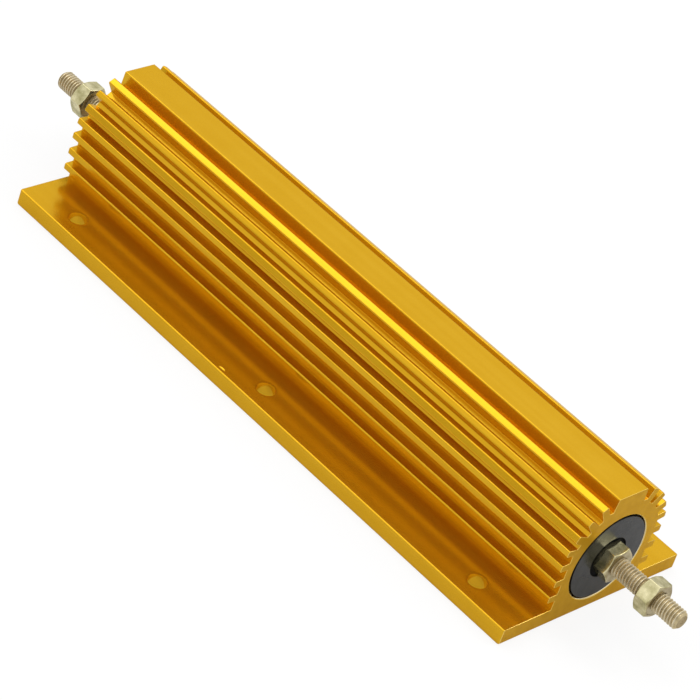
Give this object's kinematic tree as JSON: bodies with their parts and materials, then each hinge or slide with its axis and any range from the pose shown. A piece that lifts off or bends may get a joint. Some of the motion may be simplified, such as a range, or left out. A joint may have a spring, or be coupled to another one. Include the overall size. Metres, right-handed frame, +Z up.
{
  "type": "aluminium housed power resistor",
  "caption": "Wirewound power resistor in a finned, gold anodised aluminium extrusion with a flanged mounting base and a threaded stud terminal at each end.",
  "frame": {"origin": "middle of the underside of the mounting base, on the plane that it is screwed down to", "axes": "+X runs along the body out of one end, through the studs; +Y runs across the base; +Z points up from the base to the flat rib on top"},
  "size_m": [0.2642, 0.072, 0.0401],
  "materials": {
    "gold_anodised_aluminium": "gold anodised extrusion with a satin sheen, sawn ends",
    "disc_compound": "dark grey, dull, slightly uneven",
    "plated_stud": "yellowish brown plated thread",
    "plated_nut": "yellow passivated zinc",
    "core_ceramic": "unglazed",
    "resistance_wire": "drawn alloy wire",
    "filling_compound": "cast, matt",
    "cap_steel": "pressed sheet"
  },
  "bodies": {
    "root": {"housing": "gold_anodised_aluminium", "ceramic_core": "core_ceramic", "resistance_winding": "resistance_wire", "filling": "filling_compound", "core_cap_right": "cap_steel", "core_cap_left": "cap_steel", "end_disc_right": "disc_compound", "end_disc_left": "disc_compound", "terminal_stud_right": "plated_stud", "terminal_stud_left": "plated_stud", "inner_nut_right": "plated_nut", "inner_nut_left": "plated_nut", "outer_nut_right": "plated_nut", "outer_nut_left": "plated_nut"}
  },
  "joints": []
}
